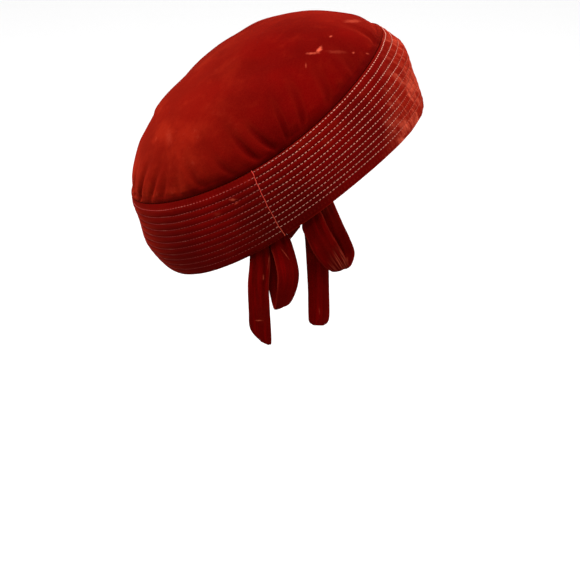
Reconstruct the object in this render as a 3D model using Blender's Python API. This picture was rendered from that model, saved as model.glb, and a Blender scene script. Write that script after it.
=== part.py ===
# Velvet pillbox hat with a top-stitched band and a ribbon bow at the back.
# Metres. +Z is up, the wearer faces +Y, the wearer's right hand is +X.
# The hat keeps the slant it is worn at, and its ribbons hang straight down.
# The origin is the middle of the head opening, at the band's lower edge.
import bpy
import bmesh
import numpy as np
from math import radians, pi
from mathutils import Euler, Vector

# How the hat sits on the head
LEAN_DEG = 30.4             # towards the wearer's left
TIP_BACK_DEG = 10.0         # towards the back of the head
TURN_DEG = -7.6             # about the hat's own axis

# Band
BAND_WIDTH = 0.1912         # across the lower edge, outside
LENGTH_RATIO = 1.04         # front to back, as a share of the width
BAND_TOP_SHARE = 0.985       # width of the upper edge, as a share of the lower
BAND_HEIGHT = 0.0488        # mean height
BAND_SWELL = 0.0050         # how far the wall bulges at half height
BULGE_COLUMNS = ("angle_deg", "half_width_deg", "height_share", "half_height_share", "swell_share")
BULGES = (
    (14.0, 60.0, 0.70, 0.30, 0.60),
    (192.0, 50.0, 0.68, 0.32, -0.40),
)
BAND_WALL = 0.0026
TOP_OFFSET_SHARE = 0.032     # sideways shift of the upper edge, share of half the width
GAP = 0.0003                # between neighbouring pieces

# Lines of stitching pressed into the band
STITCH_ROWS = 11
FIRST_ROW_SHARE = 0.014     # below the upper edge, right of the back seam, share of height
ROW_PITCH_SHARE = 0.082
ROW_DRIFT_SHARE = 0.062     # how much lower each row has become after one round
GROOVE_DEPTH = 0.0005
SEAM_HALF_DEG = 0.45        # half the angle that the back seam takes up
SEAM_DEPTH = 0.0007
SEAM_AT_DEG = 270.0         # the back of the hat, about its own axis
EDGE_ROUND_SHARE = 0.025    # height taken by the rounding of each edge
OUTER_ROUND_SHARE = 0.08    # how far the rounding starts below the face, share of the wall
EDGE_TOP_SHARES = (0.30, 0.72)  # where the upper edge starts and ends, shares of the wall
INNER_LEVEL_SHARES = (0.30, 0.62, 0.89, 0.975)

# Slow rise and fall of the two edges, in shares of the band's height
WAVE_COLUMNS = ("turns", "cos_share", "sin_share")
LOWER_EDGE_WAVES = ((2, -0.020, -0.086),)
UPPER_EDGE_WAVES = ((1, 0.085, 0.048), (2, 0.025, 0.005), (3, 0.010, -0.023))

# Crown
CROWN_RISE = 0.0450         # apex above the middle of the band's upper edge
CROWN_WALL = 0.0020
SKIRT_SHARE = 0.10          # part tucked inside the band, share of its height
SEAM_LIFT = 0.0006          # extra height at which the crown clears the band's edge
SEAM_TURN_SHARE = 0.45      # how far the crown has come out over the edge there
INNER_RINGS_LEFT_OUT = (2, 4)
DOME_COLUMNS = ("radius_share", "rise_share", "crease_share")
DOME = (
    (0.985, 0.070, 0.60),
    (0.972, 0.170, 1.00),
    (0.940, 0.290, 1.00),
    (0.890, 0.410, 1.00),
    (0.825, 0.530, 0.90),
    (0.745, 0.645, 0.75),
    (0.645, 0.755, 0.55),
    (0.520, 0.855, 0.35),
    (0.375, 0.930, 0.15),
    (0.200, 0.980, 0.02),
)
CREASE_DEPTH = 0.0022       # deepest gather where the crown joins the band
CREASE_COLUMNS = ("angle_deg", "half_width_deg", "depth_share", "reach_share", "lean_deg")
CREASES = (
    (200.0, 4.5, 0.50, 0.55, 10.0),
    (210.0, 4.5, 0.75, 0.55, 14.0),
    (220.0, 4.5, 0.60, 0.50, 14.0),
    (229.0, 4.5, 0.45, 0.45, 8.0),
    (239.0, 6.0, 0.35, 0.50, 0.0),
    (250.0, 5.0, 0.45, 0.60, -8.0),
    (263.0, 4.5, 0.50, 0.50, -8.0),
    (273.0, 4.0, 0.95, 0.60, -8.0),
    (280.0, 4.0, 1.00, 0.55, -7.0),
    (286.0, 4.0, 0.60, 0.75, 9.0),
    (293.0, 5.0, 0.65, 0.90, 16.0),
    (306.0, 6.0, 0.45, 0.70, 12.0),
    (322.0, 7.0, 0.35, 0.70, 9.0),
    (345.0, 6.0, 0.45, 0.70, 6.0),
    (12.0, 5.0, 0.60, 0.70, 5.0),
    (38.0, 6.0, 0.50, 0.75, -5.0),
    (62.0, 6.0, 0.70, 0.75, 4.0),
    (88.0, 5.0, 0.50, 0.70, -4.0),
    (112.0, 6.0, 0.60, 0.75, 5.0),
    (141.0, 6.0, 0.45, 0.70, -5.0),
    (170.0, 6.0, 0.60, 0.70, 4.0),
)
DENT_DEPTH = 0.0040
DENT_COLUMNS = ("angle_deg", "radius_share", "half_width_deg", "half_run_share", "depth_share")
DENTS = (
    (180.0, 0.82, 60.0, 0.42, 0.90),
    (188.0, 0.69, 16.0, 0.13, 1.00),
    (14.0, 0.86, 45.0, 0.34, 0.75),
    (152.0, 0.60, 45.0, 0.30, 0.95),
    (152.0, 0.36, 60.0, 0.28, 0.45),
    (60.0, 0.54, 24.0, 0.26, -0.35),
    (300.0, 0.55, 24.0, 0.18, 0.30),
)

# Bow at the back
RIBBON_WIDTH = 0.0127
RIBBON_THICKNESS = 0.0015
KNOT_LENGTH = 0.0099        # its thick middle, which shows below the band
KNOT_DROP = 0.0062          # how far the middle hangs below the band's lower edge
KNOT_SLANT_SHARE = 0.55     # how far it runs sideways under the edge, share of the drop there
KNOT_TUCK_SHARE = 0.55      # how far it runs inwards there
KNOT_DEPTH = 0.0060
BOW_AT_DEG = 274.6          # the place that the ribbons are measured from
KNOT_SHIFT_SHARE = -0.106    # middle of the knot along the band, in lengths of the knot
KNOT_HEIGHT_SHARE = 0.025   # middle of the knot above the lower edge, share of band height
ARM_TOP_SHARE = 0.70        # top of the gathered arms, in shares of the ribbon's width
ARM_FOOT_SHARE = 0.285      # their underside, just over the ends of the ribbons
KNOT_COLUMNS = ("knot_lengths", "ribbon_widths", "drop_share", "fat_share")
KNOT_SHAPE = (
    (-0.5, -1.66, 0.0, 0.30),
    (-0.5, -1.58, 0.0, 0.75),
    (-0.5, -1.41, 0.0, 1.00),
    (-0.5, -0.20, 0.0, 1.00),
    (-0.5, -0.02, 0.1, 1.00),
    (-0.49, 0.0, 0.65, 1.00),
    (-0.43, 0.0, 0.94, 1.00),
    (-0.32, 0.0, 1.0, 1.00),
    (0.30, 0.0, 0.73, 1.00),
    (0.43, 0.0, 0.68, 1.00),
    (0.49, 0.0, 0.5, 1.00),
    (0.5, 0.02, 0.1, 1.00),
    (0.5, 0.20, 0.0, 1.00),
    (0.5, 1.36, 0.0, 1.00),
    (0.5, 1.53, 0.0, 0.75),
    (0.5, 1.61, 0.0, 0.30),
)
RIBBON_EDGE_EXPONENT = 0.45

# Middle lines of the ribbons from the knot, in shares of the ribbon's width
RIBBON_COLUMNS = ("across", "out", "down", "slope_deg", "turn_deg", "width_share")
LEFT_TAIL = (
    (-1.66, -0.33, 1.02, 33, -26, 0.94),
    (-1.61, -0.25, 1.81, 14, -14, 1.00),
    (-1.68, -0.08, 2.87, 0, -8, 1.00),
    (-1.64, 0.04, 4.03, 0, -5, 1.00),
    (-1.57, 0.08, 5.20, -30, -5, 1.00),
    (-1.39, 0.08, 5.58, -24, -5, 0.40),
)
LEFT_LOOP = (
    (-0.84, -0.04, 0.44, 33, -4, 0.46),
    (-0.67, 0.01, 0.84, 30, 0, 0.85),
    (-0.45, 0.22, 1.50, 12, 8, 0.98),
    (-0.29, 0.51, 2.28, 0, 20, 1.05),
    (-0.38, 0.51, 3.10, 8, 25, 1.00),
    (-0.58, 0.18, 3.80, 14, 27, 0.80),
    (-0.72, -0.38, 3.50, 6, 25, 0.85),
    (-0.80, -0.55, 2.72, 0, 20, 0.98),
    (-0.84, -0.48, 1.70, 12, 5, 1.00),
    (-0.92, -0.42, 0.52, 33, -4, 0.72),
)
RIGHT_TAIL = (
    (0.92, -0.33, -0.74, 34, 0, 0.94),
    (0.96, -0.46, 0.10, 26, 0, 1.06),
    (1.01, -0.56, 0.84, 8, 0, 1.06),
    (1.06, -0.60, 1.89, 0, -3, 1.04),
    (1.11, -0.54, 3.20, 0, -5, 1.00),
    (1.13, -0.42, 4.32, 0, -5, 1.00),
    (1.11, -0.38, 4.68, 0, -5, 0.88),
    (1.11, -0.37, 4.84, 0, -5, 0.50),
)
RIGHT_LOOP = (
    (0.75, 0.04, -0.61, 34, 0, 0.66),
    (0.80, 0.10, -0.16, 33, -2, 0.94),
    (1.06, 0.31, 0.41, 28, -8, 1.00),
    (1.40, 0.67, 0.99, 27, -20, 1.10),
    (1.81, 0.71, 1.59, 27, -22, 1.00),
    (2.14, 0.39, 2.00, 20, -24, 0.85),
    (2.29, -0.04, 1.59, 27, -22, 1.00),
    (2.06, -0.16, 0.92, 27, -18, 1.00),
    (1.69, -0.18, 0.22, 30, -8, 1.00),
    (1.30, -0.14, -1.00, 35, -2, 0.74),
)

# Fineness of the faceted solids
AROUND = 86
STEPS_PER_SPAN = 3
RIBBON_POINTS = 10
KNOT_POINTS = 12

VELVET = (0.190, 0.008, 0.007, 1.0)
VELVET_BRIGHT = (0.230, 0.012, 0.009, 1.0)
VELVET_RIBBON = (0.165, 0.006, 0.006, 1.0)
VELVET_ROUGHNESS = 0.85


WORN = Euler((radians(TIP_BACK_DEG), radians(-LEAN_DEG), radians(TURN_DEG)), "ZXY")


def waves(table, angle):
    """Sum of the slow waves of an edge at an angle, in shares of the band's height."""
    return sum(c * np.cos(n * angle) + s * np.sin(n * angle) for n, c, s in table)


def band_point(angle, height, depth):
    """Point of the band wall: height 0 to 1 up the wall, depth inwards from its face."""
    half = BAND_WIDTH / 2
    reach = half * (1 + (BAND_TOP_SHARE - 1) * height)
    swell = BAND_SWELL * (1 - (2 * height - 1) ** 2) if 0 < height < 1 else 0.0
    for at, wide, level, tall, share in BULGES:
        beside = float(bell(angle_between(np.degrees(angle), at) / wide))
        swell += BAND_SWELL * share * beside * float(bell((height - level) / tall))
    x = (reach + swell - depth) * np.cos(angle) + half * TOP_OFFSET_SHARE * height
    y = (reach * LENGTH_RATIO + swell - depth) * np.sin(angle)
    low = BAND_HEIGHT * waves(LOWER_EDGE_WAVES, angle)
    high = BAND_HEIGHT * (1 + waves(UPPER_EDGE_WAVES, angle))
    return np.array([x, y, low + (high - low) * height])


def ring_angles():
    """Angles round the hat from one side of the back seam to the other."""
    start = radians(SEAM_AT_DEG + SEAM_HALF_DEG)
    sweep = radians(360 - 2 * SEAM_HALF_DEG)
    angles = [start + sweep * i / (AROUND - 1) for i in range(AROUND)]
    return angles + [radians(SEAM_AT_DEG + 360)]


def band_column(angle):
    """Closed outline of the band wall at one angle, from the upper edge down and back."""
    round_share = (np.degrees(angle) - SEAM_AT_DEG) / 360
    in_seam = abs(round_share - 1) < SEAM_HALF_DEG / 720
    first = FIRST_ROW_SHARE + ROW_DRIFT_SHARE * (0.5 if in_seam else round_share)
    rest = SEAM_DEPTH if in_seam else 0.0
    pressed = SEAM_DEPTH if in_seam else GROOVE_DEPTH
    points = [(1.0, BAND_WALL * EDGE_TOP_SHARES[0]), (1 - first / 2, rest)]
    for row in range(STITCH_ROWS):
        level = 1 - first - ROW_PITCH_SHARE * row
        points.append((level, pressed))
        last = row == STITCH_ROWS - 1
        drop = (level - EDGE_ROUND_SHARE) / 2 if last else ROW_PITCH_SHARE / 2
        points.append((level - drop, rest))
    points.append((EDGE_ROUND_SHARE, rest + BAND_WALL * OUTER_ROUND_SHARE))
    points.append((0.0, BAND_WALL / 2))
    points.append((EDGE_ROUND_SHARE, BAND_WALL))
    points += [(share, BAND_WALL) for share in INNER_LEVEL_SHARES]
    points.append((1.0, BAND_WALL * EDGE_TOP_SHARES[1]))
    return [band_point(angle, share, depth) for share, depth in points]


def bell(distance):
    """Smooth bump: 1 at nought, 0 from one outwards."""
    return np.where(np.abs(distance) < 1, (0.5 + 0.5 * np.cos(pi * distance)), 0.0)


def angle_between(a, b):
    """Signed difference of two angles in degrees."""
    return (a - b + 180) % 360 - 180


def dome_point(angle, radius_share, rise_share):
    """Point of the smooth dome over the band's upper edge."""
    edge = band_point(angle, 1.0, 0.0)
    middle = np.array([BAND_WIDTH / 2 * TOP_OFFSET_SHARE, 0.0])
    flat = middle + (edge[:2] - middle) * radius_share
    base = BAND_HEIGHT * (1 + waves(UPPER_EDGE_WAVES, angle) * radius_share ** 2)
    return np.array([flat[0], flat[1], base + CROWN_RISE * rise_share])


def crown_hollow(angle, climb, radius_share, crease_share):
    """How far the velvet sinks under the smooth dome; climb runs from 0 at the rim to 1."""
    degrees = np.degrees(angle)
    gathers = max(share * float(bell(angle_between(degrees, at + lean * climb / reach) / wide)
                                * bell(climb / reach))
                  for at, wide, share, reach, lean in CREASES)
    dents = 0.0
    for at, run, wide, reach, share in DENTS:
        beside = bell(angle_between(degrees, at) / wide)
        along = bell((radius_share - run) / reach)
        dents += share * float(beside * along)
    return CREASE_DEPTH * crease_share * gathers + DENT_DEPTH * dents


def crown_rings():
    """Outer rings of the crown from the tucked-in rim to the last ring before the apex."""
    angles = ring_angles()
    tucked = BAND_WALL + GAP
    clear = (GAP + SEAM_LIFT) / BAND_HEIGHT
    turned = tucked - BAND_WALL * SEAM_TURN_SHARE
    smooth = []
    smooth.append([band_point(a, 1 - SKIRT_SHARE, tucked) for a in angles])
    smooth.append([band_point(a, 1.0, tucked) for a in angles])
    smooth.append([band_point(a, 1 + clear, turned) for a in angles])
    hollow = [[0.0] * len(angles)] * 3
    for row, (radius_share, rise_share, crease_share) in enumerate(DOME):
        climb = row / (len(DOME) - 1)
        smooth.append([dome_point(a, radius_share, rise_share) for a in angles])
        hollow.append([crown_hollow(a, climb, radius_share, crease_share) for a in angles])
    smooth = np.array(smooth)
    outward = grid_normals(smooth)
    return smooth - outward * np.array(hollow)[:, :, None]


def grid_normals(rings):
    """Unit normals of a stack of closed rings, pointing out of the stack."""
    around = np.roll(rings, -1, axis=1) - np.roll(rings, 1, axis=1)
    along = np.gradient(rings, axis=0)
    out = np.cross(around, along)
    return out / np.linalg.norm(out, axis=2, keepdims=True)


def spline(table, steps):
    """Catmull-Rom curve through the rows of a table."""
    rows = np.array(table, dtype=float)
    ends = np.vstack([2 * rows[0] - rows[1], rows, 2 * rows[-1] - rows[-2]])
    out = []
    for i in range(len(rows) - 1):
        a, b, c, d = ends[i:i + 4]
        for k in range(steps):
            t = k / steps
            out.append(0.5 * (2 * b + (c - a) * t + (2 * a - 5 * b + 4 * c - d) * t ** 2
                              + (3 * b - a - 3 * c + d) * t ** 3))
    out.append(rows[-1])
    return np.array(out)


def knot_middle():
    """Middle of the knot behind the band's lower edge, in the hat's own axes."""
    return band_point(radians(BOW_AT_DEG), KNOT_HEIGHT_SHARE, BAND_WALL + GAP + KNOT_DEPTH / 2)


def ribbon_sections(table):
    """Cross-sections of a flat ribbon along its table, from the knot's middle."""
    rows = spline(table, STEPS_PER_SPAN)
    middle = rows[:, :3] * RIBBON_WIDTH * np.array([1, -1, -1])
    slope = np.radians(rows[:, 3])
    turn = np.radians(rows[:, 4])
    side = np.stack([np.cos(turn), np.sin(turn), np.tan(slope)], axis=1)
    along = np.gradient(middle, axis=0)
    out = np.cross(along, side)
    out /= np.linalg.norm(out, axis=1, keepdims=True)
    sections = []
    for i in range(len(rows)):
        ring = []
        for k in range(RIBBON_POINTS):
            angle = 2 * pi * (k + 0.5) / RIBBON_POINTS
            wide = np.sign(np.cos(angle)) * abs(np.cos(angle)) ** RIBBON_EDGE_EXPONENT
            thick = np.sign(np.sin(angle)) * abs(np.sin(angle)) ** RIBBON_EDGE_EXPONENT
            across = side[i] * wide * rows[i, 5] * RIBBON_WIDTH / 2
            ring.append(middle[i] + across + out[i] * thick * RIBBON_THICKNESS / 2)
        sections.append(ring)
    return np.array(sections)


def knot_sections():
    """Knot and its two gathered arms, which follow the curve of the band's lower edge."""
    radius = BAND_WIDTH / 2 * LENGTH_RATIO
    start = radians(BOW_AT_DEG)
    head = RIBBON_WIDTH * ARM_TOP_SHARE
    foot = RIBBON_WIDTH * ARM_FOOT_SHARE
    sections = []
    for lengths, widths, drop, fat in KNOT_SHAPE:
        along = (lengths + KNOT_SHIFT_SHARE) * KNOT_LENGTH + widths * RIBBON_WIDTH
        bottom = foot - drop * (foot + KNOT_DROP)
        ring = []
        for k in range(KNOT_POINTS):
            angle = 2 * pi * k / KNOT_POINTS
            depth = BAND_WALL + GAP + KNOT_DEPTH / 2 * (1 + fat * np.cos(angle))
            rise = (head + bottom) / 2 + (head - bottom) / 2 * fat * np.sin(angle)
            below = min(rise, 0.0)
            depth -= KNOT_TUCK_SHARE * below
            at = (along + KNOT_SLANT_SHARE * below) / radius
            ring.append(band_point(start + at, 0.0, depth) + np.array([0.0, 0.0, rise]))
        sections.append(ring)
    return np.array(sections)


def make_empty(name, place, turned):
    """Guide that holds pieces at one place and slant."""
    guide = bpy.data.objects.new(name, None)
    guide.location = place
    guide.rotation_mode = turned.order
    guide.rotation_euler = turned
    bpy.context.scene.collection.objects.link(guide)
    return guide


def make_object(name, sections, closed, colour, holder, apexes=()):
    """Closed loft through rings of points, as a named object with its own material."""
    mesh = bpy.data.meshes.new(name)
    shell = bmesh.new()
    rings = [[shell.verts.new(point) for point in ring] for ring in sections]
    following = rings[1:] + (rings[:1] if closed else [])
    for ring, after in zip(rings, following):
        for k in range(len(ring)):
            m = (k + 1) % len(ring)
            shell.faces.new((ring[k], ring[m], after[m]))
            shell.faces.new((ring[k], after[m], after[k]))
    for ring, apex in zip((rings[0], rings[-1]), apexes):
        hub = shell.verts.new(apex)
        for k in range(len(ring)):
            shell.faces.new((hub, ring[k], ring[(k + 1) % len(ring)]))
    bmesh.ops.recalc_face_normals(shell, faces=shell.faces)
    shell.to_mesh(mesh)
    shell.free()
    mesh.shade_smooth()
    material = bpy.data.materials.new("velvet_" + name)
    material.use_nodes = True
    shader = material.node_tree.nodes["Principled BSDF"]
    shader.inputs["Base Color"].default_value = colour
    shader.inputs["Roughness"].default_value = VELVET_ROUGHNESS
    shader.inputs["Metallic"].default_value = 0.0
    mesh.materials.append(material)
    thing = bpy.data.objects.new(name, mesh)
    thing.parent = holder
    bpy.context.scene.collection.objects.link(thing)
    return thing


def build_band(holder):
    columns = np.array([band_column(a) for a in ring_angles()])
    make_object("band", columns, True, VELVET_BRIGHT, holder)


def build_crown(holder):
    outer = crown_rings()
    inner = outer - grid_normals(outer) * CROWN_WALL
    kept = [i for i in range(len(inner)) if i not in INNER_RINGS_LEFT_OUT]
    rings = np.concatenate([outer[::-1], inner[kept]])
    top = Vector((BAND_WIDTH / 2 * TOP_OFFSET_SHARE, 0.0, BAND_HEIGHT + CROWN_RISE))
    under_top = top - Vector((0.0, 0.0, CROWN_WALL))
    make_object("crown", rings, False, VELVET, holder, (top, under_top))


def build_knot(holder):
    sections = knot_sections()
    ends = (sections[0].mean(axis=0), sections[-1].mean(axis=0))
    make_object("bow_knot", sections, False, VELVET_RIBBON, holder, ends)


def build_ribbons(holder):
    for name, table in (("left_tail", LEFT_TAIL), ("left_loop", LEFT_LOOP),
                        ("right_tail", RIGHT_TAIL), ("right_loop", RIGHT_LOOP)):
        sections = ribbon_sections(table)
        ends = (sections[0].mean(axis=0), sections[-1].mean(axis=0))
        make_object(name, sections, False, VELVET_RIBBON, holder, ends)


def main():
    for thing in list(bpy.data.objects):
        bpy.data.objects.remove(thing, do_unlink=True)
    hat = make_empty("hat_as_worn", Vector((0.0, 0.0, 0.0)), WORN)
    knot_place = WORN.to_matrix() @ Vector(knot_middle())
    plumb = make_empty("ribbons_hang", knot_place, Euler((0.0, 0.0, 0.0), "XYZ"))
    build_band(hat)
    build_crown(hat)
    build_knot(hat)
    build_ribbons(plumb)


main()
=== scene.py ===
import bmesh
import bpy
import numpy as np
from math import pi, radians
from bpy.props import FloatProperty, FloatVectorProperty, IntProperty, PointerProperty
from bpy.types import Operator, Panel, PropertyGroup
from mathutils import Euler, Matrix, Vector, noise


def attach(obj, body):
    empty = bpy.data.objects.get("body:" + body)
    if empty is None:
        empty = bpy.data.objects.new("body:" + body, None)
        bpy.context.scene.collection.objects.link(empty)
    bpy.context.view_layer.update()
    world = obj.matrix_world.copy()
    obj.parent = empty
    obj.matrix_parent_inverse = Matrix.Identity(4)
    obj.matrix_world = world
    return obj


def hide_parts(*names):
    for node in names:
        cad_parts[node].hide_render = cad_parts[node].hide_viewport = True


bl_info = {
    "name": "Velvet Pillbox Hat",
    "version": (1, 0, 0),
    "blender": (4, 5, 0),
    "location": "3D View > Sidebar > Hat",
    "description": "Builds a velvet pillbox hat with a top-stitched band and a ribbon bow",
    "category": "Object",
}

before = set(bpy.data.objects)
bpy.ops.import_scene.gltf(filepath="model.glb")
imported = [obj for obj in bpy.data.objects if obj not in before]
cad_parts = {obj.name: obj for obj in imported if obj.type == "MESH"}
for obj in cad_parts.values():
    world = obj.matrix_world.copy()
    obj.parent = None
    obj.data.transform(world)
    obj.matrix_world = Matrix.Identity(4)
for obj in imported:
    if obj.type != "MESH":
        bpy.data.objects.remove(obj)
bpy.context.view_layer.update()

# How finely the pieces are modelled
BAND_POINTS_ROUND = 340
CROWN_POINTS_ROUND = 400
RIBBON_POINTS_ROUND = 48
KNOT_POINTS_ROUND = 28
DOME_STEPS = 7
RIBBON_STEPS = 10
KNOT_STEPS = 5
ROW_POINTS = 500
SEAM_POINTS = 60

# Back seam: its place, and the points beside it in shares of one round
SEAM_ANGLE = radians(270)
SEAM_SHARES = (0, 0.0004, 0.0009, 0.0016, 0.0026, 0.004)
SEAM_CLEAR = 0.006

# Rings of the band's face from one row of stitching to the next, in shares of the row pitch
ROW_RINGS = (0, 0.07, 0.16, 0.32, 0.5, 0.68, 0.84, 0.93)

# Rings of its hem, in shares of the way from the last row to the lower edge
HEM_RINGS = (0.12, 0.26, 0.4, 0.54, 0.68, 0.8, 0.9, 0.97)
HEM_LOW = 0.012

# Turned lower edge of the band. Columns: height_share, depth_walls
EDGE_RINGS = ((0.004, 0.22), (0, 0.5), (0.004, 0.8), (0.03, 1))

# Rings of its inside, in shares of its height
INSIDE_RINGS = (0.12, 0.24, 0.36, 0.48, 0.6, 0.72, 0.84, 0.93, 0.985)

# Crease in the hem: place and half width in shares of the hem, depth in metres
HEM_CREASE_AT, HEM_CREASE_WIDE, HEM_CREASE_DEPTH = 0.54, 0.06, 0.00035

# Section of the face between two rows
GROOVE_HALF_WIDTH = 0.00042
PUFF_POWER = 0.7

# Hand-made unevenness of the cloth. Columns: bump_m, noise_shift, height_m
BAND_SWAY = ((0.045, 3.1, 0.0007), (0.016, 8.4, 0.00022))
BAND_CRUMPLE = ((0.0085, 9.7, 0.00045), (0.0045, 2.9, 0.0002))
CROWN_SWAY = ((0.04, 1.7, 0.0011), (0.018, 5.2, 0.00035))
RIBBON_SWAY = ((0.011, 4.4, 0.0003),)

# Where the band's right end begins to crumple, and over what distance, in metres
CRUMPLE_START, CRUMPLE_RUN = 0.07, 0.018

# How the crown's folds narrow to the band, spread up the dome and round out
FOLD_FOOT, FOLD_SPREAD, FOLD_POWER = 0.55, 1.2, 1.3

# Gathers at the crown's rim: size, noise shift, and reach up the dome
GATHER_BUMP, GATHER_SHIFT, GATHER_REACH, GATHER_STRETCH = 0.055, 6.3, 0.22, 0.35

# Rows of thread: first and last share of the round, wander in shares of the band's height,
# height over the groove in thread radii, and where the pile hides the thread more
ROW_START = 0.002
ROW_BUMP, ROW_SHIFT, ROW_WANDER = 0.02, 11, 0.004
THREAD_PROUD, THREAD_SUNK = 1.2, 0.40
SUNK_AT, SUNK_RUN = 225, 60.0

# Thread of the back seam: its ends in shares of the band's height, and its small turns
SEAM_TOP, SEAM_LOW = 0.99, 0.02
SEAM_BUMP, SEAM_SHIFT, SEAM_WANDER = 0.0022, 5.7, 0.0035
SEAM_PROUD, SEAM_UNEVEN, SEAM_THREAD_SHARE = 0.7, 0.6, 1.15

# Smallest and largest share of its size that a stitch is laid with
STITCH_LEAST = (0.85, 0.85, 0.82)
STITCH_MOST = (1.15, 1.1, 1.14)

# Camera: lens and sensor in millimetres, place in metres
CAMERA_LENS, CAMERA_SENSOR = 92.64, 36.0
CAMERA_PLACE = (-0.0003, -0.9492, 0.1286)

# Broad light from above: its turn and how far its light spreads
OVERHEAD_TURN, OVERHEAD_SPREAD = (radians(12), radians(-22), 0), radians(70)

# Soft lights: what they face, their places from there and their sizes, in metres
LIGHT_AIM = (0, -0.01, 0)
KEY_OFFSET, KEY_SIZE = (-0.75, 0.05, 0.95), 0.9
SIDE_OFFSET, SIDE_SIZE = (1.05, -0.05, 0.45), 0.8

# Slow rise and fall of the band's edges, in shares of its height
# Columns: turns, cos_share, sin_share
LOWER_EDGE_WAVES = ((2, -0.02, -0.086),)
UPPER_EDGE_WAVES = ((1, 0.085, 0.048), (2, 0.025, 0.005), (3, 0.01, -0.023))

# Where the wall stands out or falls in, in shares of the band's swell
# Columns: angle_deg, half_width_deg, height_share, half_height_share, swell_share
BULGES = (
    (14, 60, 0.7, 0.3, 0.6),
    (192, 50, 0.68, 0.32, -0.4),
)

# Line of the dome from the band's upper edge to just before the apex
# Columns: radius_share, rise_share, crease_share
DOME = (
    (0.985, 0.07, 0.6),
    (0.972, 0.17, 1),
    (0.94, 0.29, 1),
    (0.89, 0.41, 1),
    (0.825, 0.53, 0.9),
    (0.745, 0.645, 0.75),
    (0.645, 0.755, 0.55),
    (0.52, 0.855, 0.35),
    (0.375, 0.93, 0.15),
    (0.2, 0.98, 0.02),
)

# Dents pressed into the dome
# Columns: angle_deg, radius_share, half_width_deg, half_run_share, depth_share
DENTS = (
    (180, 0.82, 60, 0.42, 0.9),
    (188, 0.69, 16, 0.13, 1),
    (14, 0.86, 45, 0.34, 0.75),
    (152, 0.6, 45, 0.3, 0.95),
    (152, 0.36, 60, 0.28, 0.45),
    (60, 0.54, 24, 0.26, -0.35),
    (300, 0.55, 24, 0.18, 0.3),
)

# Folds that start where the crown joins the band
# Columns: angle_deg, half_width_deg, depth_share, reach_share, lean_deg
CREASES = (
    (200, 4.5, 0.5, 0.55, 10),
    (210, 4.5, 0.75, 0.55, 14),
    (220, 4.5, 0.6, 0.5, 14),
    (229, 4.5, 0.45, 0.45, 8),
    (239, 6, 0.35, 0.5, 0),
    (250, 5, 0.45, 0.6, -8),
    (263, 4.5, 0.5, 0.5, -8),
    (274, 3.6, 1, 0.6, -8),
    (281, 3.4, 1.05, 0.55, -7),
    (286.5, 3.2, 0.85, 0.6, 5),
    (293.5, 4.6, 0.62, 0.75, 12),
    (306, 6, 0.45, 0.7, 12),
    (322, 7, 0.35, 0.7, 9),
    (345, 6, 0.45, 0.7, 6),
    (12, 5, 0.6, 0.7, 5),
    (38, 6, 0.5, 0.75, -5),
    (62, 6, 0.7, 0.75, 4),
    (88, 5, 0.5, 0.7, -4),
    (112, 6, 0.6, 0.75, 5),
    (141, 6, 0.45, 0.7, -5),
    (170, 6, 0.6, 0.7, 4),
)

# Middle lines of the ribbons from the knot, in shares of the ribbon's width
# Columns: across, out, down, slope_deg, turn_deg, width_share
LEFT_TAIL = (
    (-1.66, -0.33, 1.02, 33, -26, 0.94),
    (-1.61, -0.25, 1.81, 14, -14, 1),
    (-1.68, -0.08, 2.87, 0, -8, 1),
    (-1.64, 0.04, 4.03, 0, -5, 1),
    (-1.57, 0.08, 5.2, -30, -5, 1),
    (-1.39, 0.08, 5.58, -24, -5, 0.4),
)
LEFT_LOOP = (
    (-0.84, -0.04, 0.44, 33, -4, 0.46),
    (-0.67, 0.01, 0.84, 30, 0, 0.85),
    (-0.45, 0.22, 1.5, 12, 8, 0.98),
    (-0.29, 0.51, 2.28, 0, 20, 1.05),
    (-0.38, 0.51, 3.1, 8, 25, 1),
    (-0.58, 0.18, 3.8, 14, 27, 0.8),
    (-0.72, -0.38, 3.5, 6, 25, 0.85),
    (-0.8, -0.55, 2.72, 0, 20, 0.98),
    (-0.84, -0.48, 1.7, 12, 5, 1),
    (-0.92, -0.42, 0.52, 33, -4, 0.72),
)
RIGHT_TAIL = (
    (0.92, -0.33, -0.74, 34, 0, 0.94),
    (0.96, -0.46, 0.1, 26, 0, 1.06),
    (1.01, -0.56, 0.84, 8, 0, 1.06),
    (1.06, -0.6, 1.89, 0, -3, 1.04),
    (1.11, -0.54, 3.2, 0, -5, 1),
    (1.13, -0.42, 4.32, 0, -5, 1),
    (1.11, -0.38, 4.68, 0, -5, 0.88),
    (1.11, -0.37, 4.84, 0, -5, 0.5),
)
RIGHT_LOOP = (
    (0.75, 0.04, -0.61, 34, 0, 0.66),
    (0.8, 0.1, -0.16, 33, -2, 0.94),
    (1.06, 0.31, 0.41, 28, -8, 1),
    (1.4, 0.67, 0.99, 27, -20, 1.1),
    (1.81, 0.71, 1.59, 27, -22, 1),
    (2.14, 0.39, 2, 20, -24, 0.85),
    (2.29, -0.04, 1.59, 27, -22, 1),
    (2.06, -0.16, 0.92, 27, -18, 1),
    (1.69, -0.18, 0.22, 30, -8, 1),
    (1.3, -0.14, -1, 35, -2, 0.74),
)

# Columns: piece, middle line, how it is held, cut length in metres
RIBBONS = (
    ("left_tail", LEFT_TAIL, "hung", 0.060),
    ("left_loop", LEFT_LOOP, "folded", 0.094),
    ("right_tail", RIGHT_TAIL, "hung", 0.072),
    ("right_loop", RIGHT_LOOP, "folded", 0.086),
)

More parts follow.
